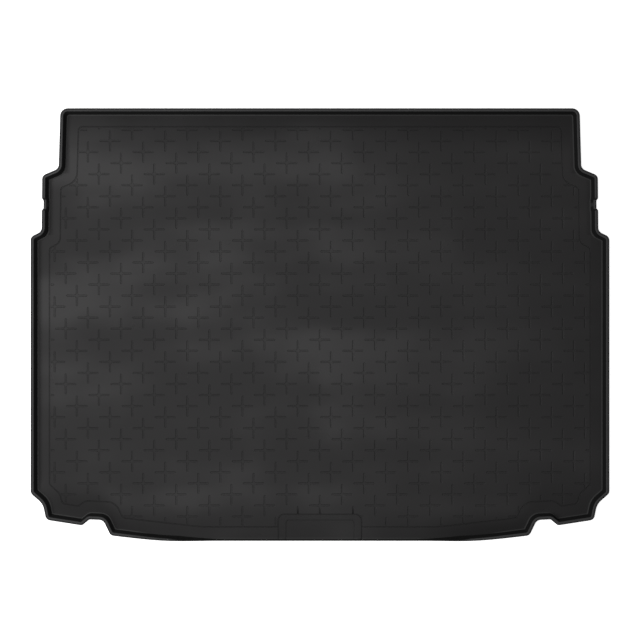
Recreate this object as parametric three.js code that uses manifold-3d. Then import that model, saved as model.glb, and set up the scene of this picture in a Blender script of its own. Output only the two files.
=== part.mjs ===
// A car boot liner: one shallow tray moulded from black rubber, in millimetres.
// X runs across the car, +Y points to the rear seats and +Z is up.
// The origin is under the middle of the tray, on the plane that it lies on.
// A low rim stands round the sheet and dies away along the tailgate edge.
// A contour line follows the rim on the floor, round a field of crosses, with a bare plate at the tailgate.
import * as THREE from "three";
import { mergeVertices } from "three/addons/utils/BufferGeometryUtils.js";
import Module from "manifold-3d";

// Overall plan
const TRAY_WIDTH = 1043.6;
const TRAY_LENGTH = 782.8;

// Sheet and rim
const SHEET = 3;
const RIM_HEIGHT = 25;
const LIP_WIDTH = 5.4;
const LIP_DEPTH = 4;
const WALL = 3;
const WALL_RUN = 3;
const FOOT_ROUND = 1.6;
const EDGE_ROUND = 1;
const EDGE_ROLL = 4.5;

// Steps of the side from its widest stretch forward to the seat edge, across the car
const WIDE_STEP = 19.9;
const MIDDLE_LEAN = 0.9;
const SHOULDER_STEP = 29.8;
const SEAT_LEAN = 3;

// The same steps along the car, back from the seat edge
const SHOULDER_BACK = 108.7;
const SHOULDER_SLANT = 12.5;
const MIDDLE_LENGTH = 101;
const WIDE_SLANT = 9.8;

// Steps of the side from its widest stretch back to the tailgate edge, across the car
const HEEL_STEP = 22.2;
const TOE_STEP = 5.6;
const TAB_WIDTH = 63.9;
const NOTCH_STEP_WIDTH = 13.2;
const NOTCH_WIDTH = 25.8;
const TAIL_STEP = 13.3;
const TAIL_TAPER = 106;

// The same steps along the car, forward from the tailgate edge
const TAIL_RISE = 12.8;
const NOTCH_DEPTH = 28;
const NOTCH_SLOPE = 1.1;
const NOTCH_STEP_DEPTH = 10.8;
const TAB_SLOPE = 9.9;
const TOE_LENGTH = 28.1;
const HEEL_LENGTH = 19.5;

// Corner radii of the plan
const SEAT_ROUND = 13;
const SIDE_ROUND = 9;
const STEP_ROUND = 12;
const HEEL_ROUND = 30;
const NOTCH_ROUND = 6;
const NOTCH_INNER_ROUND = 13;
const TAIL_ROUND = 9;
const INNER_ROUND = 2;
const ARC_ANGLE = 40 * Math.PI / 180;
const ARC_ROOM = 0.48;

// Half the length over which the tailgate edge eases from its taper into its straight stretch
const TAIL_EASE = 40;

// Pinch in each side of the rim, placed from the front of the middle stretch
const PINCH_BACK = 51.4;
const PINCH_LENGTH = 22.4;
const PINCH_RAMP = 4;
const PINCH_DEPTH = 2.2;
const PINCH_RISE = 0.82;

// Where the rim dies away along the tailgate, from the tail corner towards the middle
const FADE_GAP = 13.8;
const FADE_LENGTH = 197;
const FADE_STOPS = 8;
const FADE_POWER = 1.1;

// Contour line on the floor, which comes nearer the edge along the taper of the tailgate
const CONTOUR_INSET = 30;
const CONTOUR_TAIL_INSET = 25;
const CONTOUR_TAPER = 160;
const CONTOUR_ROUND = 8;
const CONTOUR_BEND_ROUND = 220;
const LINE_WIDTH = 2.2;
const LINE_DEPTH = 0.9;

// Crosses, set on a grid of squares by knight's moves from the one nearest the middle
const CROSS_GRID = 20.09;
const CROSS_LENGTH = 38;
const CROSS_WIDTH = 3.4;
const CROSS_DEPTH = 1.1;
const CROSS_START_X = -0.1;
const CROSS_START_Y = -26.2;
const FIELD_GAP = 1.5;

// Bare plate at the middle of the tailgate edge, and the sunk pad inside it
const PLATE_WIDTH = 151.8;
const PLATE_LENGTH = 47.9;
const PLATE_ROUND = 11;
const PAD_SIDE_GAP = 13.9;
const PAD_TOP_GAP = 10.3;
const PAD_ROUND = 5.5;
const PAD_DEPTH = 0.8;

// How far a cutter reaches past the face it cuts
const CUT_OVER = 1;

// Edges and corners worked out from the steps
const SIDE = TRAY_WIDTH / 2;
const SEAT_EDGE = TRAY_LENGTH / 2;
const TAIL_EDGE = -TRAY_LENGTH / 2;

const MIDDLE_REAR_X = SIDE - WIDE_STEP;
const MIDDLE_FRONT_X = MIDDLE_REAR_X - MIDDLE_LEAN;
const SHOULDER_X = MIDDLE_FRONT_X - SHOULDER_STEP;
const SEAT_X = SHOULDER_X - SEAT_LEAN;
const SHOULDER_Y = SEAT_EDGE - SHOULDER_BACK;
const MIDDLE_FRONT_Y = SHOULDER_Y - SHOULDER_SLANT;
const MIDDLE_REAR_Y = MIDDLE_FRONT_Y - MIDDLE_LENGTH;
const WIDE_FRONT_Y = MIDDLE_REAR_Y - WIDE_SLANT;

const HEEL_X = SIDE - HEEL_STEP;
const TOE_X = HEEL_X - TOE_STEP;
const NOTCH_OUTER_X = TOE_X - TAB_WIDTH;
const NOTCH_STEP_X = NOTCH_OUTER_X - NOTCH_STEP_WIDTH;
const NOTCH_INNER_X = NOTCH_STEP_X - NOTCH_WIDTH;
const TAIL_X = NOTCH_INNER_X - TAIL_STEP;
const BEND_X = TAIL_X - TAIL_TAPER;
const TAIL_Y = TAIL_EDGE + TAIL_RISE;
const NOTCH_INNER_Y = TAIL_Y + NOTCH_DEPTH;
const NOTCH_STEP_Y = NOTCH_INNER_Y + NOTCH_SLOPE;
const NOTCH_OUTER_Y = NOTCH_STEP_Y - NOTCH_STEP_DEPTH;
const TOE_Y = NOTCH_OUTER_Y + TAB_SLOPE;
const HEEL_Y = TOE_Y + TOE_LENGTH;
const WIDE_REAR_Y = HEEL_Y + HEEL_LENGTH;

const wasm = await Module();
wasm.setup();

// One corner of the plan: rise is the share of the rim's height that stands there.
function corner(x, y, round, rise = 1) {
  return { x, y, round, rise, inset: CONTOUR_INSET };
}

// The rim's share of height at a distance past the start of its fade.
function riseAt(along) {
  const level = 0.5 + 0.5 * Math.cos(Math.PI * along / FADE_LENGTH);
  return Math.pow(level, FADE_POWER);
}

// The tailgate edge slopes from the tail corner and eases into its straight stretch at the bend.
function tailEdgeAt(x) {
  const slope = TAIL_RISE / TAIL_TAPER;
  const toBend = x - BEND_X;
  if (Math.abs(toBend) > TAIL_EASE) {
    return TAIL_EDGE + slope * Math.max(toBend, 0);
  }
  return TAIL_EDGE + slope * (toBend + TAIL_EASE) ** 2 / (4 * TAIL_EASE);
}

// Stops along the tailgate edge where the rim's height changes.
function fadeStops() {
  const stops = [];
  for (let i = 0; i <= FADE_STOPS; i += 1) {
    const along = FADE_LENGTH * i / FADE_STOPS;
    const x = TAIL_X - FADE_GAP - along;
    stops.push(corner(x, tailEdgeAt(x), 0, riseAt(along)));
  }
  return stops;
}

// The pinch dents and lowers the rim on the middle stretch of the side.
function pinchStops() {
  const half = PINCH_LENGTH / 2;
  const stops = [[-half, 0], [PINCH_RAMP - half, 1], [half - PINCH_RAMP, 1], [half, 0]];
  return stops.map(([along, deep]) => {
    const back = PINCH_BACK + along;
    const side = THREE.MathUtils.lerp(MIDDLE_FRONT_X, MIDDLE_REAR_X, back / MIDDLE_LENGTH);
    const rise = deep ? PINCH_RISE : 1;
    return corner(side - deep * PINCH_DEPTH, MIDDLE_FRONT_Y - back, 0, rise);
  });
}

// Corners of the right half, from the seat edge to the tail corner.
function seatToTail(pinch) {
  return [
    corner(SEAT_X, SEAT_EDGE, SEAT_ROUND),
    corner(SHOULDER_X, SHOULDER_Y, STEP_ROUND),
    corner(MIDDLE_FRONT_X, MIDDLE_FRONT_Y, SIDE_ROUND),
    ...pinch,
    corner(MIDDLE_REAR_X, MIDDLE_REAR_Y, STEP_ROUND),
    corner(SIDE, WIDE_FRONT_Y, SIDE_ROUND),
    corner(SIDE, WIDE_REAR_Y, SIDE_ROUND),
    corner(HEEL_X, HEEL_Y, HEEL_ROUND),
    corner(TOE_X, TOE_Y, SIDE_ROUND),
    corner(NOTCH_OUTER_X, NOTCH_OUTER_Y, NOTCH_ROUND),
    corner(NOTCH_STEP_X, NOTCH_STEP_Y, NOTCH_ROUND),
    corner(NOTCH_INNER_X, NOTCH_INNER_Y, NOTCH_INNER_ROUND),
    corner(TAIL_X, TAIL_Y, TAIL_ROUND),
  ];
}

// A whole loop, anticlockwise from above, from the corners of its right half.
function mirrored(half) {
  const left = half.map((c) => ({ ...c, x: -c.x }));
  return [...left, ...half.toReversed()];
}

function rimLoop() {
  return mirrored([...seatToTail(pinchStops()), ...fadeStops()]);
}

function contourLoop() {
  const bend = corner(TAIL_X - CONTOUR_TAPER, TAIL_EDGE, CONTOUR_BEND_ROUND);
  bend.inset = CONTOUR_TAIL_INSET;
  return mirrored([...seatToTail([]), bend]);
}

const UP = new THREE.Vector3(0, 0, 1);
const plan = (c) => new THREE.Vector2(c.x, c.y);

// The outward normal of the edge from one point to the next, on an anticlockwise loop.
function outward(from, to) {
  const along = to.clone().sub(from).normalize();
  return new THREE.Vector2(along.y, -along.x);
}

// Moves each corner in by its own distance, so that the two edges beside it move in by as much.
function insetCorners(loop, insetOf) {
  return loop.map((c, i) => {
    const here = plan(c);
    const before = outward(plan(loop.at(i - 1)), here);
    const after = outward(here, plan(loop[(i + 1) % loop.length]));
    const miter = before.clone().add(after).divideScalar(1 + before.dot(after));
    return here.addScaledVector(miter, -insetOf(c));
  });
}

// Rounds one corner with an arc, which the edges beside it limit to just under half their length.
function roundedCorner(before, here, after, radius, steps) {
  if (radius === 0 || steps === 0) {
    return [here];
  }
  const toBefore = before.clone().sub(here);
  const toAfter = after.clone().sub(here);
  const turn = Math.PI - toBefore.angleTo(toAfter);
  const room = ARC_ROOM * Math.min(toBefore.length(), toAfter.length());
  const reach = Math.min(radius * Math.tan(turn / 2), room);
  const r = reach / Math.tan(turn / 2);
  const start = here.clone().addScaledVector(toBefore.normalize(), reach);
  const side = Math.sign(toBefore.cross(toAfter));
  const centre = start.clone().add(new THREE.Vector2(toBefore.y, -toBefore.x).multiplyScalar(-side * r));
  const first = start.clone().sub(centre).angle();
  const points = [];
  for (let i = 0; i <= steps; i += 1) {
    const angle = first - side * turn * (i / steps);
    points.push(new THREE.Vector2(Math.cos(angle), Math.sin(angle)).multiplyScalar(r).add(centre));
  }
  return points;
}

// A corner keeps the same number of arc steps however far it is moved in.
function arcSteps(loop, i) {
  const into = plan(loop[i]).sub(plan(loop.at(i - 1)));
  const outOf = plan(loop[(i + 1) % loop.length]).sub(plan(loop[i]));
  return Math.ceil(into.angleTo(outOf) / ARC_ANGLE);
}

// One ring of points round the loop, moved in and lifted as its corners ask.
function ring(loop, insetOf, heightOf, smallest) {
  const moved = insetCorners(loop, insetOf);
  return loop.flatMap((c, i) => {
    const before = moved.at(i - 1);
    const after = moved[(i + 1) % moved.length];
    const inset = insetOf(c);
    const bend = moved[i].clone().sub(before).cross(after.clone().sub(moved[i]));
    const radius = c.round && (bend > 0 ? Math.max(c.round - inset, smallest) : c.round + inset);
    return roundedCorner(before, moved[i], after, radius, arcSteps(loop, i))
      .map((p) => new THREE.Vector3(p.x, p.y, heightOf(c)));
  });
}

// Joins rings of points into one closed solid. A loop of rings closes on itself;
// otherwise the first ring, or a single point, is the bottom and the last ring is the top.
function loft(rings, closed = false) {
  const triangles = [];
  const spans = closed ? rings.length : rings.length - 1;
  for (let k = 0; k < spans; k += 1) {
    const low = rings[k];
    const high = rings[(k + 1) % rings.length];
    for (let i = 0; i < high.length; i += 1) {
      const j = (i + 1) % high.length;
      if (low.length > 1) {
        triangles.push(low[i], low[j], high[j]);
      }
      triangles.push(low[i % low.length], high[j], high[i]);
    }
  }
  if (!closed) {
    triangles.push(...cap(rings[0]).toReversed(), ...cap(rings.at(-1)));
  }
  return triangles;
}

function cap(points) {
  if (points.length < 3) {
    return [];
  }
  const flat = points.map((p) => new THREE.Vector2(p.x, p.y));
  return THREE.ShapeUtils.triangulateShape(flat, []).flat().map((i) => points[i]);
}

function solid(triangles) {
  const merged = mergeVertices(new THREE.BufferGeometry().setFromPoints(triangles), 1e-4);
  return new wasm.Manifold(new wasm.Mesh({
    numProp: 3,
    vertProperties: merged.attributes.position.array,
    triVerts: new Uint32Array(merged.index.array),
  }));
}

// The edge of the tray in section where the rim stands, as inset and height,
// from its underside out and round the lip to the floor.
function rimSection() {
  const lipBottom = RIM_HEIGHT - LIP_DEPTH;
  const lipRound = LIP_WIDTH / 4;
  const wallTop = LIP_WIDTH - WALL;
  return [
    [wallTop + WALL_RUN + EDGE_ROUND, 0],
    [wallTop + WALL_RUN, EDGE_ROUND],
    [wallTop, lipBottom],
    [0, lipBottom + lipRound],
    [lipRound, RIM_HEIGHT],
    [LIP_WIDTH - lipRound, RIM_HEIGHT],
    [LIP_WIDTH, lipBottom + lipRound],
    [LIP_WIDTH + WALL_RUN, SHEET + FOOT_ROUND],
    [LIP_WIDTH + WALL_RUN + FOOT_ROUND, SHEET],
  ];
}

// The same points where there is no rim: the sheet's edge rolls down over half its thickness.
function plainSection() {
  const rollSteps = rimSection().length - 3;
  const section = [[EDGE_ROUND, 0], [0, EDGE_ROUND]];
  for (let i = 0; i <= rollSteps; i += 1) {
    const angle = (Math.PI / 2) * (i / rollSteps);
    section.push([EDGE_ROLL * (1 - Math.cos(angle)), SHEET * (1 + Math.sin(angle)) / 2]);
  }
  return section;
}

// The sheet with its rim, and nothing cut into it.
function tray() {
  const loop = rimLoop();
  const plain = plainSection();
  const rings = rimSection().map(([inset, height], k) => {
    const [plainInset, plainHeight] = plain[k];
    const insetOf = (c) => THREE.MathUtils.lerp(plainInset, inset, c.rise);
    const heightOf = (c) => THREE.MathUtils.lerp(plainHeight, height, c.rise);
    return ring(loop, insetOf, heightOf, INNER_ROUND);
  });
  return solid(loft(rings));
}

function contourRing(shift, height) {
  return ring(contourLoop(), (c) => c.inset + shift, () => height, CONTOUR_ROUND);
}

// A cutter for a line with sloping sides, given its rings by their shift from its middle.
function lineCutter(ringAt) {
  const side = LINE_WIDTH / 2;
  return solid(loft([
    ringAt(0, SHEET - LINE_DEPTH),
    ringAt(-side, SHEET),
    ringAt(-side, SHEET + CUT_OVER),
    ringAt(side, SHEET + CUT_OVER),
    ringAt(side, SHEET),
  ], true));
}

// A block with straight sides between two heights.
function block(ringAt, low, high) {
  return solid(loft([ringAt(low), ringAt(high)]));
}

// The plate and its pad are open to the tailgate edge, so their outlines run out past it.
function plateRing(half, length, round) {
  const top = TAIL_EDGE + length;
  const bottom = TAIL_EDGE - PLATE_LENGTH;
  const loop = [[-half, top], [-half, bottom], [half, bottom], [half, top]]
    .map(([x, y]) => ({ x, y, round }));
  return (shift, height) => ring(loop, () => shift, () => height, round);
}

// The outline of one plus, anticlockwise from its right arm.
function crossOutline(centreX, centreY, height) {
  const side = CROSS_WIDTH / 2;
  const tip = CROSS_LENGTH / 2;
  const points = [];
  for (let quarter = 0; quarter < 4; quarter += 1) {
    for (const [x, y] of [[tip, -side], [tip, side], [side, side]]) {
      const turned = new THREE.Vector3(x, y, height).applyAxisAngle(UP, quarter * Math.PI / 2);
      points.push(turned.add(new THREE.Vector3(centreX, centreY, 0)));
    }
  }
  return points;
}

// One cutter for every cross: a plus that is deepest at its centre.
function crossCutters() {
  const reach = Math.ceil(TRAY_WIDTH / 2 / CROSS_GRID);
  const triangles = [];
  for (let i = -reach; i <= reach; i += 1) {
    for (let j = -reach; j <= reach; j += 1) {
      const x = CROSS_START_X + (2 * i + j) * CROSS_GRID;
      const y = CROSS_START_Y + (i - 2 * j) * CROSS_GRID;
      if (Math.abs(x) < SIDE && Math.abs(y) < SEAT_EDGE) {
        triangles.push(...loft([
          [new THREE.Vector3(x, y, SHEET - CROSS_DEPTH)],
          crossOutline(x, y, SHEET),
          crossOutline(x, y, SHEET + CUT_OVER),
        ]));
      }
    }
  }
  return solid(triangles);
}

// The floor inside the contour line, less the plate, as a block that reaches through the crosses.
function fieldBlock(plateBlock) {
  const inset = LINE_WIDTH / 2 + FIELD_GAP;
  return block((height) => contourRing(inset, height), 0, RIM_HEIGHT).subtract(plateBlock);
}

function linerSolid() {
  const plate = plateRing(PLATE_WIDTH / 2, PLATE_LENGTH, PLATE_ROUND);
  const pad = plateRing(PLATE_WIDTH / 2 - PAD_SIDE_GAP, PLATE_LENGTH - PAD_TOP_GAP, PAD_ROUND);
  const plateBlock = block((height) => plate(0, height), -CUT_OVER, RIM_HEIGHT + CUT_OVER);
  const padBlock = block((height) => pad(0, height), SHEET - PAD_DEPTH, RIM_HEIGHT);
  return tray()
    .subtract(lineCutter(contourRing).subtract(plateBlock))
    .subtract(lineCutter(plate))
    .subtract(padBlock)
    .subtract(crossCutters().intersect(fieldBlock(plateBlock)));
}

function toGeometry(manifold) {
  const { vertProperties, triVerts } = manifold.getMesh();
  const geometry = new THREE.BufferGeometry();
  geometry.setAttribute("position", new THREE.BufferAttribute(vertProperties, 3));
  geometry.setIndex(new THREE.BufferAttribute(triVerts, 1));
  geometry.computeVertexNormals();
  return geometry;
}

const rubber = new THREE.MeshStandardMaterial({ color: 0x303133, roughness: 0.72, metalness: 0 });
const liner = new THREE.Mesh(toGeometry(linerSolid()), rubber);
liner.name = "boot_liner";

const part = new THREE.Group();
part.add(liner);
export default part;
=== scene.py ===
"""A car boot liner of black rubber on a white floor, seen from straight above.

The liner is one moulded piece, so one fine mesh stands for the CAD node: the same outline and rim
with rounded corners, and the contour line, the crosses and the plate cut into it with rounded
edges. Lengths are in millimetres, and become metres where a mesh or a material takes them.
"""

import math

import bpy
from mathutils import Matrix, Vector


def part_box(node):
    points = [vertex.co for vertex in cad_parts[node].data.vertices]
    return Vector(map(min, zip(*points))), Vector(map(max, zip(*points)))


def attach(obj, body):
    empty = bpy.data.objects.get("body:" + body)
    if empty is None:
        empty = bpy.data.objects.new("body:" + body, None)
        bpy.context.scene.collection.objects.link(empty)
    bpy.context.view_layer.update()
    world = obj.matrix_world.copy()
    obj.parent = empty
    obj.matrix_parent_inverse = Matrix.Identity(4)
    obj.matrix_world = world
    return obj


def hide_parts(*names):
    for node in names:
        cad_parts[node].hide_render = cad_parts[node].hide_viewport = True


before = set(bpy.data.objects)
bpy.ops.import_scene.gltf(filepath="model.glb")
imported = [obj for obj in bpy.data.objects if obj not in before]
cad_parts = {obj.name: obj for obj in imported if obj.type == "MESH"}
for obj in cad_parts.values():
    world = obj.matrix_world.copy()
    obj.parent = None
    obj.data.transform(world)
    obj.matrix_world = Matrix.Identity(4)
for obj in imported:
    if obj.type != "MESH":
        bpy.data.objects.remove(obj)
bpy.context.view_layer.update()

NODE = "boot_liner"
MM = 0.001

# Overall plan, from the frame
LOW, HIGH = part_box(NODE)
TRAY_WIDTH = (HIGH[0] - LOW[0]) / MM
TRAY_LENGTH = (HIGH[1] - LOW[1]) / MM
RIM_HEIGHT = (HIGH[2] - LOW[2]) / MM

# Sheet and rim
SHEET = 3
LIP_WIDTH = 5.4
LIP_DEPTH = 4
LIP_SWELL = 1
LIP_ROLL = 2.6
LIP_CREASE = 0.7
WALL = 3
WALL_RUN = 3
FOOT_ROUND = 1.6
FOOT_RUN = 6.4
EDGE_ROLL = 4.5
EDGE_SWELL = 0.6
EDGE_ROUND = 1
CHAMFER = 0.3

# Radii of the rim's section, corner by corner from its underside to the floor, and the steps
# that each arc takes
SECTION_RADII = (1.5, 1, 0.5, 2.5, 2.5, 1.5, 1.5, 2.5, 2.5)
SECTION_STEPS = 3

# Steps of the side from its widest stretch forward to the seat edge, across and along the car
WIDE_STEP = 19.9
MIDDLE_LEAN = 0.9
SHOULDER_STEP = 29.8
SEAT_LEAN = 3
SHOULDER_BACK = 108.7
SHOULDER_SLANT = 12.5
MIDDLE_LENGTH = 101
WIDE_SLANT = 9.8

# Steps of the side from its widest stretch back to the tailgate edge, across and along the car
HEEL_STEP = 22.2
TOE_STEP = 5.6
TAB_WIDTH = 63.9
NOTCH_STEP_WIDTH = 13.2
NOTCH_WIDTH = 25.8
TAIL_STEP = 13.3
TAIL_TAPER = 106
TAIL_RISE = 12.8
NOTCH_DEPTH = 28
NOTCH_SLOPE = 1.1
NOTCH_STEP_DEPTH = 10.8
TAB_SLOPE = 9.9
TOE_LENGTH = 28.1
HEEL_LENGTH = 19.5

# Corner radii of the plan
SEAT_ROUND = 13
SIDE_ROUND = 9
STEP_ROUND = 12
HEEL_ROUND = 30
NOTCH_ROUND = 6
NOTCH_INNER_ROUND = 13
TAIL_ROUND = 9
PINCH_ROUND = 3
INNER_ROUND = 2

# Arcs in the plan: the turn of one step, the share of an edge that one may take up, and the turn
# below which a corner counts as straight
ARC_ANGLE = math.radians(9)
ARC_ROOM = 0.48
STRAIGHT = 1e-6

# Half the length over which the tailgate edge eases from its taper into its straight stretch
TAIL_EASE = 40

# Pinch in each side of the rim
PINCH_BACK = 51.4
PINCH_LENGTH = 22.4
PINCH_RAMP = 4
PINCH_DEPTH = 2.2
PINCH_RISE = 0.82

# Where the rim dies away along the tailgate
FADE_GAP = 13.8
FADE_LENGTH = 197
FADE_STOPS = 26
FADE_POWER = 1.1

# Lines and crosses in the floor
CONTOUR_INSET = 30
CONTOUR_TAIL_INSET = 25
CONTOUR_TAPER = 160
CONTOUR_ROUND = 8
CONTOUR_BEND_ROUND = 220
LINE_WIDTH = 2.2
LINE_DEPTH = 0.9
CROSS_GRID = 20.09
CROSS_LENGTH = 38.6
CROSS_WIDTH = 3.6
CROSS_DEPTH = 0.6
CROSS_START_X = -0.1
CROSS_START_Y = -26.2
FIELD_GAP = 1.5

# Inner corners of a cross, as a radius in half widths, and the steps of its tips and those corners
CROSS_INNER_ROUND = 1.2
CROSS_TIP_STEPS = 4
CROSS_INNER_STEPS = 2

# One side of a groove from its bottom to its edge, as shares of half its width and of its depth
GROOVE_SIDE = ((0.3, 1), (0.62, 0.86), (0.8, 0.5), (0.92, 0.15), (1.08, 0))

# Plate at the middle of the tailgate edge
PLATE_WIDTH = 151.8
PLATE_LENGTH = 47.9
PLATE_ROUND = 11
PAD_SIDE_GAP = 13.9
PAD_TOP_GAP = 10.3
PAD_ROUND = 5.5
PAD_DEPTH = 0.8

# The pad's edge from its bottom up, as millimetres in from its outline and shares of its depth
PAD_SIDE = ((0.5, 1), (0.15, 0.8), (0, 0.2), (-0.2, 0))

# How far a cutter reaches past the face it cuts
CUT_OVER = 1

# The angle past which an edge stays sharp, and how much larger faces weigh in the normals
SHARP_ANGLE = math.radians(62)
NORMAL_WEIGHT = 100

SIDE = TRAY_WIDTH / 2
SEAT_EDGE = TRAY_LENGTH / 2
TAIL_EDGE = -TRAY_LENGTH / 2
MIDDLE_REAR_X = SIDE - WIDE_STEP
MIDDLE_FRONT_X = MIDDLE_REAR_X - MIDDLE_LEAN
SHOULDER_X = MIDDLE_FRONT_X - SHOULDER_STEP
SEAT_X = SHOULDER_X - SEAT_LEAN
SHOULDER_Y = SEAT_EDGE - SHOULDER_BACK
MIDDLE_FRONT_Y = SHOULDER_Y - SHOULDER_SLANT
MIDDLE_REAR_Y = MIDDLE_FRONT_Y - MIDDLE_LENGTH
WIDE_FRONT_Y = MIDDLE_REAR_Y - WIDE_SLANT
HEEL_X = SIDE - HEEL_STEP
TOE_X = HEEL_X - TOE_STEP
NOTCH_OUTER_X = TOE_X - TAB_WIDTH
NOTCH_STEP_X = NOTCH_OUTER_X - NOTCH_STEP_WIDTH
NOTCH_INNER_X = NOTCH_STEP_X - NOTCH_WIDTH
TAIL_X = NOTCH_INNER_X - TAIL_STEP
BEND_X = TAIL_X - TAIL_TAPER
TAIL_Y = TAIL_EDGE + TAIL_RISE
NOTCH_INNER_Y = TAIL_Y + NOTCH_DEPTH
NOTCH_STEP_Y = NOTCH_INNER_Y + NOTCH_SLOPE
NOTCH_OUTER_Y = NOTCH_STEP_Y - NOTCH_STEP_DEPTH
TOE_Y = NOTCH_OUTER_Y + TAB_SLOPE
HEEL_Y = TOE_Y + TOE_LENGTH
WIDE_REAR_Y = HEEL_Y + HEEL_LENGTH


# Plan of the liner

def corner(x, y, radius, rise=1.0, inset=CONTOUR_INSET):
    """One corner of the plan: rise is the share of the rim's height that stands there."""
    return {"at": Vector((x, y)), "round": radius, "rise": rise, "inset": inset}


def lerp(a, b, t):
    return a + (b - a) * t


def tail_edge_at(x):
    """The tailgate edge slopes from the tail corner and eases into its straight stretch."""
    slope = TAIL_RISE / TAIL_TAPER
    to_bend = x - BEND_X
    if abs(to_bend) > TAIL_EASE:
        return TAIL_EDGE + slope * max(to_bend, 0)
    return TAIL_EDGE + slope * (to_bend + TAIL_EASE) ** 2 / (4 * TAIL_EASE)


def fade_stops():
    """Stops along the tailgate edge, where the rim's height changes."""
    stops = []
    for i in range(FADE_STOPS + 1):
        along = FADE_LENGTH * i / FADE_STOPS
        x = TAIL_X - FADE_GAP - along
        level = 0.5 + 0.5 * math.cos(math.pi * along / FADE_LENGTH)
        stops.append(corner(x, tail_edge_at(x), 0, level ** FADE_POWER))
    return stops


def pinch_stops():
    """The pinch dents and lowers the rim on the middle stretch of the side."""
    half = PINCH_LENGTH / 2
    stops = []
    for along, deep in ((-half, 0), (PINCH_RAMP - half, 1), (half - PINCH_RAMP, 1), (half, 0)):
        back = PINCH_BACK + along
        side = lerp(MIDDLE_FRONT_X, MIDDLE_REAR_X, back / MIDDLE_LENGTH)
        rise = PINCH_RISE if deep else 1.0
        stops.append(corner(side - deep * PINCH_DEPTH, MIDDLE_FRONT_Y - back, PINCH_ROUND, rise))
    return stops


def seat_to_tail(pinch):
    """Corners of the right half, from the seat edge to the tail corner."""
    return [
        corner(SEAT_X, SEAT_EDGE, SEAT_ROUND),
        corner(SHOULDER_X, SHOULDER_Y, STEP_ROUND),
        corner(MIDDLE_FRONT_X, MIDDLE_FRONT_Y, SIDE_ROUND),
        *pinch,
        corner(MIDDLE_REAR_X, MIDDLE_REAR_Y, STEP_ROUND),
        corner(SIDE, WIDE_FRONT_Y, SIDE_ROUND),
        corner(SIDE, WIDE_REAR_Y, SIDE_ROUND),
        corner(HEEL_X, HEEL_Y, HEEL_ROUND),
        corner(TOE_X, TOE_Y, SIDE_ROUND),
        corner(NOTCH_OUTER_X, NOTCH_OUTER_Y, NOTCH_ROUND),
        corner(NOTCH_STEP_X, NOTCH_STEP_Y, NOTCH_ROUND),
        corner(NOTCH_INNER_X, NOTCH_INNER_Y, NOTCH_INNER_ROUND),
        corner(TAIL_X, TAIL_Y, TAIL_ROUND),
    ]


def mirrored(half):
    """A whole loop, anticlockwise from above, from the corners of its right half."""
    left = [{**c, "at": Vector((-c["at"].x, c["at"].y))} for c in half]
    return left + half[::-1]


def rim_loop():
    return mirrored(seat_to_tail(pinch_stops()) + fade_stops())


def contour_loop():
    bend_x = TAIL_X - CONTOUR_TAPER
    bend = corner(bend_x, TAIL_EDGE, CONTOUR_BEND_ROUND, inset=CONTOUR_TAIL_INSET)
    return mirrored(seat_to_tail([]) + [bend])


def outward(start, end):
    along = (end - start).normalized()
    return Vector((along.y, -along.x))


def inset_corners(loop, inset_of):
    """Moves each corner in, so that the two edges beside it move in by its distance."""
    moved = []
    for i, c in enumerate(loop):
        before = outward(loop[i - 1]["at"], c["at"])
        after = outward(c["at"], loop[(i + 1) % len(loop)]["at"])
        miter = (before + after) / (1 + before.dot(after))
        moved.append(c["at"] - miter * inset_of(c))
    return moved


def rounded(before, here, after, radius, steps):
    """One corner as an arc, which the edges beside it limit to just under half their length."""
    if radius == 0 or steps == 0:
        return [here]
    to_before = before - here
    to_after = after - here
    turn = math.pi - to_before.angle(to_after)
    if turn < STRAIGHT:
        return [here.copy() for _ in range(steps + 1)]
    room = ARC_ROOM * min(to_before.length, to_after.length)
    reach = min(radius * math.tan(turn / 2), room)
    r = reach / math.tan(turn / 2)
    to_before.normalize()
    side = math.copysign(1, to_before.cross(to_after))
    start = here + to_before * reach
    centre = start + Vector((to_before.y, -to_before.x)) * (-side * r)
    spoke = start - centre
    first = math.atan2(spoke.y, spoke.x)
    points = []
    for i in range(steps + 1):
        angle = first - side * turn * i / steps
        points.append(centre + Vector((math.cos(angle), math.sin(angle))) * r)
    return points


def arc_steps(loop, i):
    into = loop[i]["at"] - loop[i - 1]["at"]
    out_of = loop[(i + 1) % len(loop)]["at"] - loop[i]["at"]
    return math.ceil(into.angle(out_of) / ARC_ANGLE)


def ring(loop, inset_of, height_of, smallest):
    """One ring of points round the loop, moved in and lifted as its corners ask."""
    moved = inset_corners(loop, inset_of)
    points = []
    for i, c in enumerate(loop):
        before = moved[i - 1]
        after = moved[(i + 1) % len(moved)]
        bend = (moved[i] - before).cross(after - moved[i])
        inset = inset_of(c)
        radius = 0
        if c["round"]:
            radius = max(c["round"] - inset, smallest) if bend > 0 else c["round"] + inset
        for p in rounded(before, moved[i], after, radius, arc_steps(loop, i)):
            points.append((p.x, p.y, height_of(c)))
    return points


# Meshes

def loft(rings, closed=False):
    """Vertices and faces of a closed solid through rings of points, from its bottom to its top."""
    count = len(rings[0])
    verts = [p for r in rings for p in r]
    faces = []
    spans = len(rings) if closed else len(rings) - 1
    for k in range(spans):
        low = k * count
        high = (k + 1) % len(rings) * count
        for i in range(count):
            j = (i + 1) % count
            faces.append((low + i, low + j, high + j, high + i))
    if not closed:
        top = (len(rings) - 1) * count
        faces.append(tuple(range(count))[::-1])
        faces.append(tuple(range(top, top + count)))
    return verts, faces


def joined(parts):
    """Several sets of vertices and faces as one."""
    verts, faces = [], []
    for part_verts, part_faces in parts:
        start = len(verts)
        verts.extend(part_verts)
        faces.extend(tuple(start + i for i in f) for f in part_faces)
    return verts, faces


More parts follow.
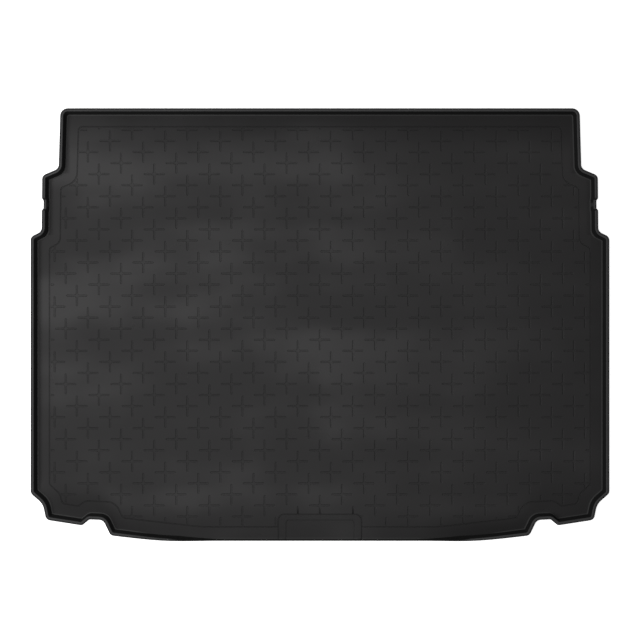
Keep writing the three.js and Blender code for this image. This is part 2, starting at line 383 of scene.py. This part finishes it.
def make_object(name, shape):
    verts, faces = shape
    mesh = bpy.data.meshes.new(name)
    mesh.from_pydata([[v * MM for v in p] for p in verts], [], faces)
    mesh.validate()
    made = bpy.data.objects.new(name, mesh)
    bpy.context.scene.collection.objects.link(made)
    return made


def combine(target, cutter, operation):
    """Cuts or clips target by cutter, and deletes cutter."""
    change = target.modifiers.new(operation, "BOOLEAN")
    change.operation = operation
    change.solver = "MANIFOLD"
    change.object = cutter
    apply_modifiers(target)
    bpy.data.objects.remove(cutter)


def apply_modifiers(target):
    graph = bpy.context.evaluated_depsgraph_get()
    mesh = bpy.data.meshes.new_from_object(target.evaluated_get(graph))
    target.modifiers.clear()
    target.data = mesh


# The tray with its rim

def rounded_path(points, radii, steps):
    """An open path whose inner corners are rounded."""
    path = [Vector(points[0])]
    for i in range(1, len(points) - 1):
        before, here, after = (Vector(p) for p in points[i - 1:i + 2])
        path.extend(rounded(before, here, after, radii[i - 1], steps))
    path.append(Vector(points[-1]))
    return path


def rim_section():
    """The edge where the rim stands, as inset and height, from its underside to the floor."""
    lip_bottom = RIM_HEIGHT - LIP_DEPTH
    wall_top = LIP_WIDTH - WALL
    corners = [
        (wall_top + WALL_RUN + SHEET, 0),
        (wall_top + WALL_RUN + CHAMFER, 0),
        (wall_top, lip_bottom),
        (-LIP_SWELL, lip_bottom + CHAMFER),
        (-LIP_SWELL, RIM_HEIGHT - LIP_ROLL),
        (LIP_ROLL - LIP_SWELL, RIM_HEIGHT),
        (LIP_WIDTH - LIP_CREASE, RIM_HEIGHT),
        (LIP_WIDTH, RIM_HEIGHT - 2 * LIP_CREASE),
        (LIP_WIDTH + WALL_RUN, SHEET + FOOT_ROUND),
        (LIP_WIDTH + WALL_RUN + FOOT_ROUND, SHEET),
        (LIP_WIDTH + WALL_RUN + FOOT_RUN, SHEET),
    ]
    return rounded_path(corners, SECTION_RADII, SECTION_STEPS)


def plain_section(count):
    """The same number of points where there is no rim, round the sheet's own edge."""
    section = [
        (EDGE_ROLL, 0),
        (EDGE_ROUND, 0),
        (CHAMFER - EDGE_SWELL, CHAMFER),
        (-EDGE_SWELL, EDGE_ROUND),
    ]
    steps = count - len(section) - 1
    run = EDGE_ROLL + EDGE_SWELL
    for i in range(steps + 1):
        angle = math.pi / 2 * i / steps
        section.append((EDGE_ROLL - run * math.cos(angle), SHEET * (1 + math.sin(angle)) / 2))
    return section


def tray_shape():
    loop = rim_loop()
    full = rim_section()
    plain = plain_section(len(full))
    rings = []
    for (inset, height), (plain_inset, plain_height) in zip(full, plain):
        def inset_of(c, a=plain_inset, b=inset):
            return lerp(a, b, c["rise"])

        def height_of(c, a=plain_height, b=height):
            return lerp(a, b, c["rise"])

        rings.append(ring(loop, inset_of, height_of, INNER_ROUND))
    return loft(rings)


# Lines, plate and crosses

def groove_section(half, depth):
    """One side of a groove, as offset from its middle and depth."""
    return [(u * half, v * depth) for u, v in GROOVE_SIDE]


def line_cutter(ring_at):
    """A cutter for a line, given its rings by their shift from its middle."""
    side = groove_section(LINE_WIDTH / 2, LINE_DEPTH)
    lid = side[-1][0]
    section = [(-offset, -depth) for offset, depth in side]
    section.append((-lid, CUT_OVER))
    section.append((lid, CUT_OVER))
    section.extend((offset, -depth) for offset, depth in side[::-1])
    return loft([ring_at(shift, SHEET + up) for shift, up in section], closed=True)


def contour_ring(shift, height):
    return ring(contour_loop(), lambda c: c["inset"] + shift, lambda c: height, CONTOUR_ROUND)


def plate_ring(half, length, radius):
    """The plate or its pad, open to the tailgate edge, so that its outline runs out past it."""
    top = TAIL_EDGE + length
    bottom = TAIL_EDGE - PLATE_LENGTH
    corners = ((-half, top), (-half, bottom), (half, bottom), (half, top))
    loop = [corner(x, y, radius) for x, y in corners]
    return lambda shift, height: ring(loop, lambda c: shift, lambda c: height, radius)


def block(ring_at, low, high):
    return loft([ring_at(0, low), ring_at(0, high)])


def plate_cutters():
    """The plate's line, its sunk pad, and the block that keeps other cuts out of it."""
    plate = plate_ring(PLATE_WIDTH / 2, PLATE_LENGTH, PLATE_ROUND)
    pad = plate_ring(PLATE_WIDTH / 2 - PAD_SIDE_GAP, PLATE_LENGTH - PAD_TOP_GAP, PAD_ROUND)
    line = line_cutter(plate)
    rings = [pad(inset, SHEET - share * PAD_DEPTH) for inset, share in PAD_SIDE]
    rings.append(pad(PAD_SIDE[-1][0], SHEET + CUT_OVER))
    return line, loft(rings), block(plate, -CUT_OVER, RIM_HEIGHT)


def plus_ring(x, y, half, tip, height):
    """A plus with rounded tips and inner corners, anticlockwise from the tip of its right arm."""
    quarter = []
    for i in range(CROSS_TIP_STEPS + 1):
        angle = math.radians(-90 + 180 * i / CROSS_TIP_STEPS)
        quarter.append((tip - half + half * math.cos(angle), half * math.sin(angle)))
    inner = CROSS_INNER_ROUND * CROSS_WIDTH / 2 - half + CROSS_WIDTH / 2
    for i in range(CROSS_INNER_STEPS + 1):
        angle = math.radians(-90 - 90 * i / CROSS_INNER_STEPS)
        u = half + inner * (1 + math.cos(angle))
        v = half + inner * (1 + math.sin(angle))
        quarter.append((u, v))
    points = []
    for turn in ((1, 0), (0, 1), (-1, 0), (0, -1)):
        for u, v in quarter:
            points.append((x + u * turn[0] - v * turn[1], y + u * turn[1] + v * turn[0], height))
    return points


def cross_shapes():
    """One cutter for each cross, set by knight's moves on a grid of squares."""
    reach = math.ceil(SIDE / CROSS_GRID)
    tip = CROSS_LENGTH / 2 - CROSS_WIDTH / 2
    side = groove_section(CROSS_WIDTH / 2, CROSS_DEPTH)
    side.append((side[-1][0], -CUT_OVER))
    shapes = []
    for i in range(-reach, reach + 1):
        for j in range(-reach, reach + 1):
            x = CROSS_START_X + (2 * i + j) * CROSS_GRID
            y = CROSS_START_Y + (i - 2 * j) * CROSS_GRID
            if abs(x) < SIDE and abs(y) < SEAT_EDGE:
                shapes.append(loft([
                    plus_ring(x, y, half, tip + half, SHEET - depth) for half, depth in side
                ]))
    return shapes


def build_liner():
    """The tray with the cuts in it, as one mesh with smooth rounded edges and flat faces."""
    liner = make_object("boot_liner_fine", tray_shape())
    line, sunk, plate_block = plate_cutters()
    contour = make_object("contour_cutter", line_cutter(contour_ring))
    combine(contour, make_object("plate_block", plate_block), "DIFFERENCE")
    combine(liner, contour, "DIFFERENCE")
    combine(liner, make_object("plate_line", line), "DIFFERENCE")
    combine(liner, make_object("pad_cutter", sunk), "DIFFERENCE")

    field_inset = LINE_WIDTH / 2 + FIELD_GAP
    field_rings = [contour_ring(field_inset, height) for height in (0, RIM_HEIGHT)]
    field = make_object("field_block", loft(field_rings))
    combine(field, make_object("plate_block", plate_block), "DIFFERENCE")
    crosses = make_object("cross_cutters", joined(cross_shapes()))
    combine(crosses, field, "INTERSECT")
    combine(liner, crosses, "DIFFERENCE")
    smooth(liner)
    return liner


def smooth(target):
    mesh = target.data
    mesh.polygons.foreach_set("use_smooth", [True] * len(mesh.polygons))
    mesh.set_sharp_from_angle(angle=SHARP_ANGLE)
    weigh = target.modifiers.new("weigh", "WEIGHTED_NORMAL")
    weigh.keep_sharp = True
    weigh.weight = NORMAL_WEIGHT
    apply_modifiers(target)


# Materials

# Heights between which the rubber's colour turns from floor to foot, foot to wall and wall to lip,
# where the rim stands at its full height: the foot and the lip get painted highlights, the wall
# painted shade
FOOT_START = 3.1
FOOT_TOP = 3.5
FOOT_END = 4.5
WALL_START = 5.6
WALL_END = 22.6
LIP_START = 24.6

# Shares of the rim's height over which its foot and its lip take on their painted highlights, and
# the least share that is counted with
FOOT_RISE = (0.5, 0.95)
LIP_RISE = (0.33, 0.6)
LEAST_RISE = 0.03

# Depths under the floor between which a groove is painted dark as shade, and how dark that painted
# shade is at the left and the right
GROOVE_START = 0.05
GROOVE_END = 0.35
GROOVE_STRETCH = (-100, 400)
GROOVE_SHADE_LEFT = 0.24
GROOVE_SHADE_RIGHT = 0.12

# Strips of painted shade on the floor, as how far in from the outline they begin and end to fade,
# and how dark they are: close to the rim, along the right side and towards the seat edge
RIM_STRIP = (9, 21)
RIM_STRIP_SHARE = 0.5
RIGHT_STRIP = (27, 32)
RIGHT_STRIP_SHARE = 0.27
SEAT_STRIP = (12, 85)
SEAT_STRIP_SHARE = 0.62

# The strip of painted shade at the tailgate: it is darker towards both sides, darker again to the
# right, and lies further forward past the notches, where it is lighter at the right
TAIL_STRIP = (12, 70)
TAIL_SPREAD = (150, 270)
TAIL_MIDDLE_SHARE = 0.33
TAIL_SIDE_SHARE = 0.75
TAIL_RIGHT = (50, 250)
TAIL_RIGHT_SHARE = 0.25
PAST_NOTCH = (340, 420)
PAST_NOTCH_FORWARD = 48
PAST_NOTCH_LOSS = 0.5

# The band of painted shade that the rim runs out in, as its bounds in from the tailgate edge: each
# goes from its first value to its second over a stretch across the car
BAND_INNER = (3, 8.5)
BAND_INNER_STRETCH = (192, 255)
BAND_OUTER = (-2, 4.8)
BAND_OUTER_STRETCH = (235, 280)
BAND_BLUR = (-0.4, 0.6)
BAND_START = (165, 190)
BAND_START_SHARE = 0.8
BAND_END = (310, 340)
BAND_SHADE_TONE = (0.001, 0.001, 0.001, 1)

# The painted highlight along the middle of the tailgate edge, where the edge rolls down
SHINE_INSET = 4.2
SHINE_REACH = (0.6, 1.4)
SHINE_END = (180, 195)
SHINE_SHARE = 0.4
SHINE_HIGHLIGHT_TONE = (0.034, 0.034, 0.034, 1)

# The plate and its pad: half the width over which their outlines turn, how far the painted shadow
# line round the sunk pad reaches, and how much darker the plate and that painted shadow line are
OUTLINE_BLUR = 0.5
PAD_SHADOW_REACH = 1.8
PLATE_SHARE = 0.2
PAD_SHADOW_SHARE = 0.3

# Cloudy patches and faint streaks in the floor's sheen, which lower its roughness and lighten its
# colour as painted sheen, and how much of it is left at the right, away from the light
CLOUD_SCALE = 5.0
STREAK_SCALE = 2.2
STREAK_SQUEEZE = (0.8, 5.0, 1.0)
PATCH_RANGE = (0.75, 1.3)
SHEEN_STRETCH = (0, 300)
SHEEN_RIGHT = 0.6

# One band of painted sheen across the left of the floor, where the light falls on it
SHEEN_BAND_Y = 285
SHEEN_BAND_REACH = 50
SHEEN_BAND_SHARE = 0.75
SHEEN_BAND_STRETCH = (-200, 200)

# Tones of the floor: where it has no sheen, where painted sheen lightens it, in the strips of
# painted shade, and in dark marks: the plate's own darker tone and the painted shade in the
# grooves and round the pad
FLOOR_DULL = (0.0127, 0.0121, 0.0125, 1)
FLOOR_PAINTED_SHEEN = (0.0194, 0.0185, 0.019, 1)
PAINTED_SHADE_TONE = (0.0065, 0.0062, 0.0064, 1)
MARK_AND_SHADE_TONE = (0.003, 0.003, 0.003, 1)

# Painted light on the rim: painted highlights on its foot and lip and painted shade on its wall,
# set apart at the left and at the right as the light falls from the left, and a painted highlight
# on its wall in the middle of the pinch
TONE_STRETCH = (-350, 350)
FOOT_HIGHLIGHT_TONES = ((0.05, 0.05, 0.05, 1), (0.034, 0.034, 0.034, 1))
LIP_HIGHLIGHT_TONES = ((0.026, 0.026, 0.0265, 1), (0.032, 0.032, 0.0325, 1))
WALL_SHADE_TONES = ((0.005, 0.005, 0.0051, 1), (0.0024, 0.0024, 0.0025, 1))
PINCH_SPOT = (2, 5)
PINCH_HIGHLIGHT_TONE = (0.024, 0.024, 0.0245, 1)

# Roughness without sheen and at full sheen, what a strip of painted shade adds, and the lip's
# share of it
FULL_SHEEN = 1.3
ROUGH_DULL = 0.68
ROUGH_SHINY = 0.56
ROUGH_STRIP = 0.16
ROUGH_LIP = 0.8

# Slow waviness, pebbling and grain of the surface
WAVE_SCALE = 4.5
WAVE_HEIGHT = 4
PEBBLE_SCALE = 520.0
PEBBLE_HEIGHT = 0.12
GRAIN_SCALE = 900.0
GRAIN_HEIGHT = 0.06
SPECULAR_LEVEL = 0.3

# The white floor, and what it adds to its own light where the camera sees it
FLOOR_PAINT = (0.85, 0.85, 0.85, 1)
FLOOR_GLOW = 0.88


class Nodes:
    """A short way to add nodes to a material and link them."""

    def __init__(self, name):
        self.material = bpy.data.materials.new(name)
        self.material.use_nodes = True
        self.tree = self.material.node_tree
        self.tree.nodes.clear()

    def add(self, kind, settings=None, **inputs):
        node = self.tree.nodes.new(kind)
        for key, value in (settings or {}).items():
            setattr(node, key, value)
        for key, value in inputs.items():
            self.put(node.inputs[key.replace("_", " ")], value)
        return node

    def ramp(self, value, start, end, low=0.0, high=1.0, shape="SMOOTHSTEP"):
        """Value carried from start..end to low..high, and held past them."""
        node = self.add("ShaderNodeMapRange", {"interpolation_type": shape}, Value=value,
                        From_Min=start, From_Max=end, To_Min=low, To_Max=high)
        return node.outputs["Result"]

    def over(self, value, stretch, low=0.0, high=1.0, shape="SMOOTHSTEP"):
        """The same over a stretch that is given in millimetres."""
        start, end = stretch
        return self.ramp(value, start * MM, end * MM, low, high, shape)

    def math(self, operation, *values):
        node = self.add("ShaderNodeMath", {"operation": operation})
        for socket, value in zip(node.inputs, values):
            self.put(socket, value)
        return node.outputs["Value"]

    def mix(self, share, a, b):
        """The colour a where share is 0 and b where it is 1."""
        node = self.add("ShaderNodeMix", {"data_type": "RGBA"})
        colours = [s for s in node.inputs if s.type == "RGBA"]
        self.put(node.inputs[0], share)
        for socket, value in zip(colours, (a, b)):
            self.put(socket, value)
        return [s for s in node.outputs if s.type == "RGBA"][0]

    def put(self, socket, value):
        if isinstance(value, bpy.types.NodeSocket):
            self.tree.links.new(value, socket)
        else:
            socket.default_value = value


def painted_shade_share(n, axes):
    """How much painted shade darkens the floor near its outline, followed round the steps of the
    side.
    """
    first = n.math("GREATER_THAN", axes["Y"], (MIDDLE_REAR_Y + WIDE_FRONT_Y) / 2 * MM)
    second = n.math("GREATER_THAN", axes["Y"], (SHOULDER_Y + MIDDLE_FRONT_Y) / 2 * MM)
    side = n.math("SUBTRACT", SIDE * MM, n.math("MULTIPLY", first, WIDE_STEP * MM))
    side = n.math("SUBTRACT", side, n.math("MULTIPLY", second, SHOULDER_STEP * MM))
    across = n.math("ABSOLUTE", axes["X"])
    to_side = n.math("SUBTRACT", side, across)
    to_seat = n.math("SUBTRACT", SEAT_EDGE * MM, axes["Y"])
    to_tail = n.math("SUBTRACT", axes["Y"], TAIL_EDGE * MM)
    to_tail = n.math("SUBTRACT", to_tail, n.over(across, PAST_NOTCH, 0.0, PAST_NOTCH_FORWARD * MM))
    # Painted shade close to the rim, along the right side, towards the seat edge and at the
    # tailgate
    near_rim = n.over(n.math("MINIMUM", to_side, to_seat), RIM_STRIP, RIM_STRIP_SHARE, 0.0)
    right = (SIDE - RIGHT_STRIP[1], SIDE - RIGHT_STRIP[0])
    near_right = n.over(axes["X"], right, 0.0, RIGHT_STRIP_SHARE)
    near_seat = n.over(to_seat, SEAT_STRIP, SEAT_STRIP_SHARE, 0.0)
    tail_share = n.math("ADD", n.over(across, TAIL_SPREAD, TAIL_MIDDLE_SHARE, TAIL_SIDE_SHARE),
                        n.over(axes["X"], TAIL_RIGHT, 0.0, TAIL_RIGHT_SHARE))
    loss = n.over(axes["X"], PAST_NOTCH, 0.0, PAST_NOTCH_LOSS)
    tail_share = n.math("SUBTRACT", tail_share, loss)
    near_tail = n.math("MULTIPLY", n.over(to_tail, TAIL_STRIP, 1.0, 0.0), tail_share)
    painted_shade = n.math("MAXIMUM", near_right, n.math("MAXIMUM", near_seat, near_tail))
    return n.math("MAXIMUM", near_rim, painted_shade)


def from_pinch(n, axes):
    """How far along the side a point lies from the middle of the pinch."""
    return n.math("ABSOLUTE", n.math("SUBTRACT", axes["Y"], (MIDDLE_FRONT_Y - PINCH_BACK) * MM))


def rim_rise(n, axes):
    """The share of the rim's height that stands at the part of the edge nearest to a point."""
    across = n.math("ABSOLUTE", axes["X"])
    start = (TAIL_X - FADE_GAP) * MM
    turn = n.ramp(across, start, start - FADE_LENGTH * MM, 0.0, math.pi, "LINEAR")
    level = n.math("MULTIPLY_ADD", n.math("COSINE", turn), 0.5, 0.5)
    faded = n.math("POWER", level, FADE_POWER)
    towards_tail = n.math("MAXIMUM", faded, n.math("GREATER_THAN", axes["Y"], 0.0))

    half = PINCH_LENGTH / 2
    ramp = (half - PINCH_RAMP, half)
    pinched = n.over(from_pinch(n, axes), ramp, PINCH_RISE, 1.0, "LINEAR")
    return n.math("MAXIMUM", n.math("MINIMUM", towards_tail, pinched), LEAST_RISE)


def from_tail_edge(n, axes, across):
    """How far in from the tailgate edge a point lies, as tail_edge_at has that edge."""
    to_bend = n.math("SUBTRACT", across, BEND_X * MM)
    eased = n.math("MAXIMUM", n.math("ADD", to_bend, TAIL_EASE * MM), 0.0)
    eased = n.math("MINIMUM", eased, 2 * TAIL_EASE * MM)
    curve = n.math("DIVIDE", n.math("MULTIPLY", eased, eased), 4 * TAIL_EASE * MM)
    straight = n.math("MAXIMUM", n.math("SUBTRACT", to_bend, TAIL_EASE * MM), 0.0)
    lift = n.math("MULTIPLY", n.math("ADD", curve, straight), TAIL_RISE / TAIL_TAPER)
    return n.math("SUBTRACT", n.math("SUBTRACT", axes["Y"], TAIL_EDGE * MM), lift)


def band_bound(n, across, stretch, values):
    """One bound of the band of painted shade, as how far in from the tailgate edge it lies."""
    first, last = values
    return n.over(across, stretch, first * MM, last * MM, "LINEAR")


def tail_shade_and_highlight(n, axes):
    """The band of painted shade that the rim runs out in at the tailgate edge, and the painted
    highlight along that edge.
    """
    across = n.math("ABSOLUTE", axes["X"])
    inset = from_tail_edge(n, axes, across)
    inner = band_bound(n, across, BAND_INNER_STRETCH, BAND_INNER)
    outer = band_bound(n, across, BAND_OUTER_STRETCH, BAND_OUTER)
    shade_band = n.over(n.math("SUBTRACT", inset, inner), BAND_BLUR, 1.0, 0.0)
    shade_band = n.math("MULTIPLY", shade_band, n.over(n.math("SUBTRACT", inset, outer), BAND_BLUR))
    shade_band = n.math("MULTIPLY", shade_band, n.over(across, BAND_END, 1.0, 0.0))
    shade_band = n.math("MULTIPLY", shade_band, n.over(across, BAND_START, BAND_START_SHARE, 1.0))
    from_shine = n.math("ABSOLUTE", n.math("SUBTRACT", inset, SHINE_INSET * MM))
    tail_highlight = n.math("MULTIPLY", n.over(from_shine, SHINE_REACH, 1.0, 0.0),
                   n.over(across, SHINE_END, 1.0, 0.0))
    return shade_band, tail_highlight


def from_plate(n, axes, half, length, radius):
    """How far a point lies outside the outline of the plate or its pad, less than 0 inside."""
    across = n.math("SUBTRACT", n.math("ABSOLUTE", axes["X"]), (half - radius) * MM)
    along = n.math("SUBTRACT", axes["Y"], (TAIL_EDGE + length - radius) * MM)
    across = n.math("MAXIMUM", across, 0.0)
    along = n.math("MAXIMUM", along, 0.0)
    squares = n.math("ADD", n.math("MULTIPLY", across, across), n.math("MULTIPLY", along, along))
    return n.math("SUBTRACT", n.math("SQRT", squares), radius * MM)


def plate_marks(n, axes):
    """1 on the plate, 1 on its pad, and 1 along the edge of the pad, where a shadow line is
    painted.
    """
    pad_length = PLATE_LENGTH - PAD_TOP_GAP
    to_plate = from_plate(n, axes, PLATE_WIDTH / 2, PLATE_LENGTH, PLATE_ROUND)
    to_pad = from_plate(n, axes, PLATE_WIDTH / 2 - PAD_SIDE_GAP, pad_length, PAD_ROUND)
    on_plate = n.over(to_plate, (-OUTLINE_BLUR, OUTLINE_BLUR), 1.0, 0.0)
    on_pad = n.over(to_pad, (-OUTLINE_BLUR, OUTLINE_BLUR), 1.0, 0.0)
    line = n.over(n.math("ABSOLUTE", to_pad), (OUTLINE_BLUR, PAD_SHADOW_REACH), 1.0, 0.0)
    return on_plate, on_pad, line


def rim_masks(n, axes):
    """The shares of foot, wall and lip in a point, by how far up the rim it lies."""
    rise = rim_rise(n, axes)
    over_floor = n.math("DIVIDE", n.math("SUBTRACT", axes["Z"], SHEET * MM), rise)
    height = n.math("ADD", over_floor, SHEET * MM)
    above_floor = n.over(height, (FOOT_START, FOOT_TOP))
    above_foot = n.over(height, (FOOT_END, WALL_START))
    lip = n.over(height, (WALL_END, LIP_START))
    lip = n.math("MULTIPLY", lip, n.ramp(rise, *LIP_RISE))
    foot = n.math("MULTIPLY", above_floor, n.math("SUBTRACT", 1.0, above_foot))
    foot = n.math("MULTIPLY", foot, n.ramp(rise, *FOOT_RISE))
    wall = n.math("MULTIPLY", above_foot, n.math("SUBTRACT", 1.0, lip))
    return foot, wall, lip


def floor_sheen(n, place, axes):
    """How shiny the floor is, which also sets its painted sheen: cloudy patches, faint streaks
    across it and one band of painted sheen, all less towards the right, away from the light.
    """
    cloud = n.add("ShaderNodeTexNoise", Vector=place, Scale=CLOUD_SCALE, Detail=2.5, Roughness=0.5)
    squeezed = n.add("ShaderNodeVectorMath", {"operation": "MULTIPLY"})
    n.put(squeezed.inputs[0], place)
    n.put(squeezed.inputs[1], STREAK_SQUEEZE)
    streak = n.add("ShaderNodeTexNoise", Vector=squeezed.outputs["Vector"],
                   Scale=STREAK_SCALE, Detail=1.5)
    from_sheen_band = n.math("ABSOLUTE", n.math("SUBTRACT", axes["Y"], SHEEN_BAND_Y * MM))
    sheen_band = n.over(from_sheen_band, (0, SHEEN_BAND_REACH), SHEEN_BAND_SHARE, 0.0)
    sheen_band = n.math("MULTIPLY", sheen_band, n.over(axes["X"], SHEEN_BAND_STRETCH, 1.0, 0.0))
    patches = n.math("ADD", cloud.outputs["Fac"], streak.outputs["Fac"])
    sheen = n.math("ADD", n.ramp(patches, *PATCH_RANGE), sheen_band)
    return n.math("MULTIPLY", sheen, n.over(axes["X"], SHEEN_STRETCH, 1.0, SHEEN_RIGHT))


def floor_tone(n, axes, sheen, painted_shade):
    """The floor with its painted sheen, then what darkens it: the strips of painted shade, the
    plate's darker tone, the painted shadow line round the pad and the painted shade in the
    grooves.
    """
    on_plate, on_pad, pad_shadow_line = plate_marks(n, axes)
    # Painted sheen: the floor's colour is lighter where it is shiny
    tone = n.mix(sheen, FLOOR_DULL, FLOOR_PAINTED_SHEEN)
    # Painted shade in the strips near the outline
    tone = n.mix(painted_shade, tone, PAINTED_SHADE_TONE)
    tone = n.mix(n.math("MULTIPLY", on_plate, PLATE_SHARE), tone, MARK_AND_SHADE_TONE)
    # Painted shadow line round the sunk pad
    tone = n.mix(n.math("MULTIPLY", pad_shadow_line, PAD_SHADOW_SHARE), tone, MARK_AND_SHADE_TONE)
    # Painted shade in the grooves, less of it towards the right
    groove = n.over(axes["Z"], (SHEET - GROOVE_START, SHEET - GROOVE_END))
    in_groove = n.math("MULTIPLY", groove, n.math("SUBTRACT", 1.0, on_pad))
    groove_shade_share = n.over(axes["X"], GROOVE_STRETCH, GROOVE_SHADE_LEFT, GROOVE_SHADE_RIGHT)
    return n.mix(n.math("MULTIPLY", in_groove, groove_shade_share), tone, MARK_AND_SHADE_TONE)


def rim_painted_light(n, axes, tone, foot, wall, lip):
    """The floor's tone with the painted highlights of the foot and the lip, the painted shade of
    the wall and the painted highlight in the pinch laid over it.
    """
    to_right = n.over(axes["X"], TONE_STRETCH)
    foot_highlight = n.mix(to_right, *FOOT_HIGHLIGHT_TONES)
    lip_highlight = n.mix(to_right, *LIP_HIGHLIGHT_TONES)
    wall_shade = n.mix(to_right, *WALL_SHADE_TONES)
    pinch_highlight = n.over(from_pinch(n, axes), PINCH_SPOT, 1.0, 0.0)
    wall_shade = n.mix(pinch_highlight, wall_shade, PINCH_HIGHLIGHT_TONE)
    tone = n.mix(foot, tone, foot_highlight)
    tone = n.mix(lip, tone, lip_highlight)
    return n.mix(wall, tone, wall_shade)


def surface_normal(n, place):
    """The surface's slow waviness, then its pebbling, then its grain."""
    grain = n.add("ShaderNodeTexNoise", Vector=place, Scale=GRAIN_SCALE, Detail=3.0, Roughness=0.6)
    pebble = n.add("ShaderNodeTexVoronoi", {"feature": "SMOOTH_F1"},
                   Vector=place, Scale=PEBBLE_SCALE, Smoothness=0.6)
    wave = n.add("ShaderNodeTexNoise", Vector=place, Scale=WAVE_SCALE, Detail=1.0, Roughness=0.4)
    wavy = n.add("ShaderNodeBump", Strength=1.0, Distance=WAVE_HEIGHT * MM,
                 Height=wave.outputs["Fac"])
    pebbled = n.add("ShaderNodeBump", Strength=0.5, Distance=PEBBLE_HEIGHT * MM,
                    Height=pebble.outputs["Distance"], Normal=wavy.outputs["Normal"])
    grained = n.add("ShaderNodeBump", Strength=0.4, Distance=GRAIN_HEIGHT * MM,
                    Height=grain.outputs["Fac"], Normal=pebbled.outputs["Normal"])
    return grained.outputs["Normal"]


def rubber_material():
    """Black moulded rubber: a grained floor with a soft cloudy sheen and a duller wall, with
    painted sheen, painted shade and painted highlights in its colour.
    """
    n = Nodes("liner_rubber_fine")
    place = n.add("ShaderNodeTexCoord").outputs["Object"]
    axes = n.add("ShaderNodeSeparateXYZ", Vector=place).outputs
    foot, wall, lip = rim_masks(n, axes)
    sheen = floor_sheen(n, place, axes)
    painted_shade = painted_shade_share(n, axes)
    shade_band, tail_highlight = tail_shade_and_highlight(n, axes)

    tone = floor_tone(n, axes, sheen, painted_shade)
    tone = rim_painted_light(n, axes, tone, foot, wall, lip)
    # Painted highlight along the tailgate edge, then the band of painted shade where the rim runs
    # out
    tone = n.mix(n.math("MULTIPLY", tail_highlight, SHINE_SHARE), tone, SHINE_HIGHLIGHT_TONE)
    tone = n.mix(shade_band, tone, BAND_SHADE_TONE)

    roughness = n.math("ADD", n.ramp(sheen, 0.0, FULL_SHEEN, ROUGH_DULL, ROUGH_SHINY),
                       n.math("MULTIPLY", painted_shade, ROUGH_STRIP))
    roughness = n.math("MULTIPLY", roughness, n.ramp(lip, 0.0, 1.0, 1.0, ROUGH_LIP))
    roughness = n.math("MAXIMUM", n.math("MAXIMUM", roughness, wall), shade_band)

    shader = n.add("ShaderNodeBsdfPrincipled", Normal=surface_normal(n, place),
                   Roughness=roughness, Base_Color=tone)
    shader.inputs["Specular IOR Level"].default_value = SPECULAR_LEVEL
    n.add("ShaderNodeOutputMaterial", Surface=shader.outputs["BSDF"])
    return n.material


def floor_material():
    """A white floor that keeps the liner's shadow."""
    n = Nodes("floor_white")
    paint = n.add("ShaderNodeBsdfDiffuse", Color=FLOOR_PAINT)
    glow = n.add("ShaderNodeEmission", Color=(1, 1, 1, 1), Strength=FLOOR_GLOW)
    seen = n.add("ShaderNodeLightPath")
    both = n.add("ShaderNodeAddShader")
    n.put(both.inputs[0], paint.outputs["BSDF"])
    n.put(both.inputs[1], glow.outputs["Emission"])
    pick = n.add("ShaderNodeMixShader", Fac=seen.outputs["Is Camera Ray"])
    n.put(pick.inputs[1], paint.outputs["BSDF"])
    n.put(pick.inputs[2], both.outputs["Shader"])
    n.add("ShaderNodeOutputMaterial", Surface=pick.outputs["Shader"])
    return n.material


# Stage, lights and camera

# Lengths are in metres from here on, unless their names say otherwise
FLOOR_SIZE = 12
FLOOR_GAP = 0.0002
SOFTBOX_PLACE = (-0.65, 0.0, 1.9)
SOFTBOX_TARGET = (-0.2, 0, 0)
SOFTBOX_SIZE = (1.6, 1.6)
SOFTBOX_POWER = 40
WORLD_STRENGTH = 0.1
CAMERA_HEIGHT = 3.0
CAMERA_Y = 0.0098
PHOTO_PIXELS = 640
FLOOR_MM_PER_PIXEL = 20 / 11
SENSOR_MM = 36


def build_floor():
    half = FLOOR_SIZE / 2
    mesh = bpy.data.meshes.new("floor")
    mesh.from_pydata([(-half, -half, 0), (half, -half, 0), (half, half, 0), (-half, half, 0)],
                     [], [(0, 1, 2, 3)])
    floor = bpy.data.objects.new("floor", mesh)
    floor.location.z = LOW[2] - FLOOR_GAP
    floor.data.materials.append(floor_material())
    bpy.context.scene.collection.objects.link(floor)


def area_light(name, place, target, size, power):
    light = bpy.data.lights.new(name, "AREA")
    light.shape = "RECTANGLE"
    light.size, light.size_y = size
    light.energy = power
    holder = bpy.data.objects.new(name, light)
    holder.location = place
    holder.rotation_euler = (Vector(target) - Vector(place)).to_track_quat("-Z", "Y").to_euler()
    bpy.context.scene.collection.objects.link(holder)


def build_lights():
    area_light("softbox", SOFTBOX_PLACE, SOFTBOX_TARGET, SOFTBOX_SIZE, SOFTBOX_POWER)
    world = bpy.data.worlds.new("studio")
    world.use_nodes = True
    sky = world.node_tree.nodes["Background"]
    sky.inputs["Color"].default_value = (1, 1, 1, 1)
    sky.inputs["Strength"].default_value = WORLD_STRENGTH
    bpy.context.scene.world = world


def build_camera():
    """Straight above the liner, as high as the perspective of the rim asks."""
    camera = bpy.data.cameras.new("camera")
    distance = CAMERA_HEIGHT - SHEET * MM
    camera.sensor_width = SENSOR_MM
    camera.lens = SENSOR_MM * distance / (PHOTO_PIXELS * FLOOR_MM_PER_PIXEL * MM)
    holder = bpy.data.objects.new("camera", camera)
    holder.location = (0, CAMERA_Y, CAMERA_HEIGHT)
    bpy.context.scene.collection.objects.link(holder)
    bpy.context.scene.camera = holder


bpy.context.scene.view_settings.view_transform = "Standard"
liner = build_liner()
liner.data.materials.clear()
liner.data.materials.append(rubber_material())
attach(liner, "root")
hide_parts(NODE)
build_floor()
build_lights()
build_camera()
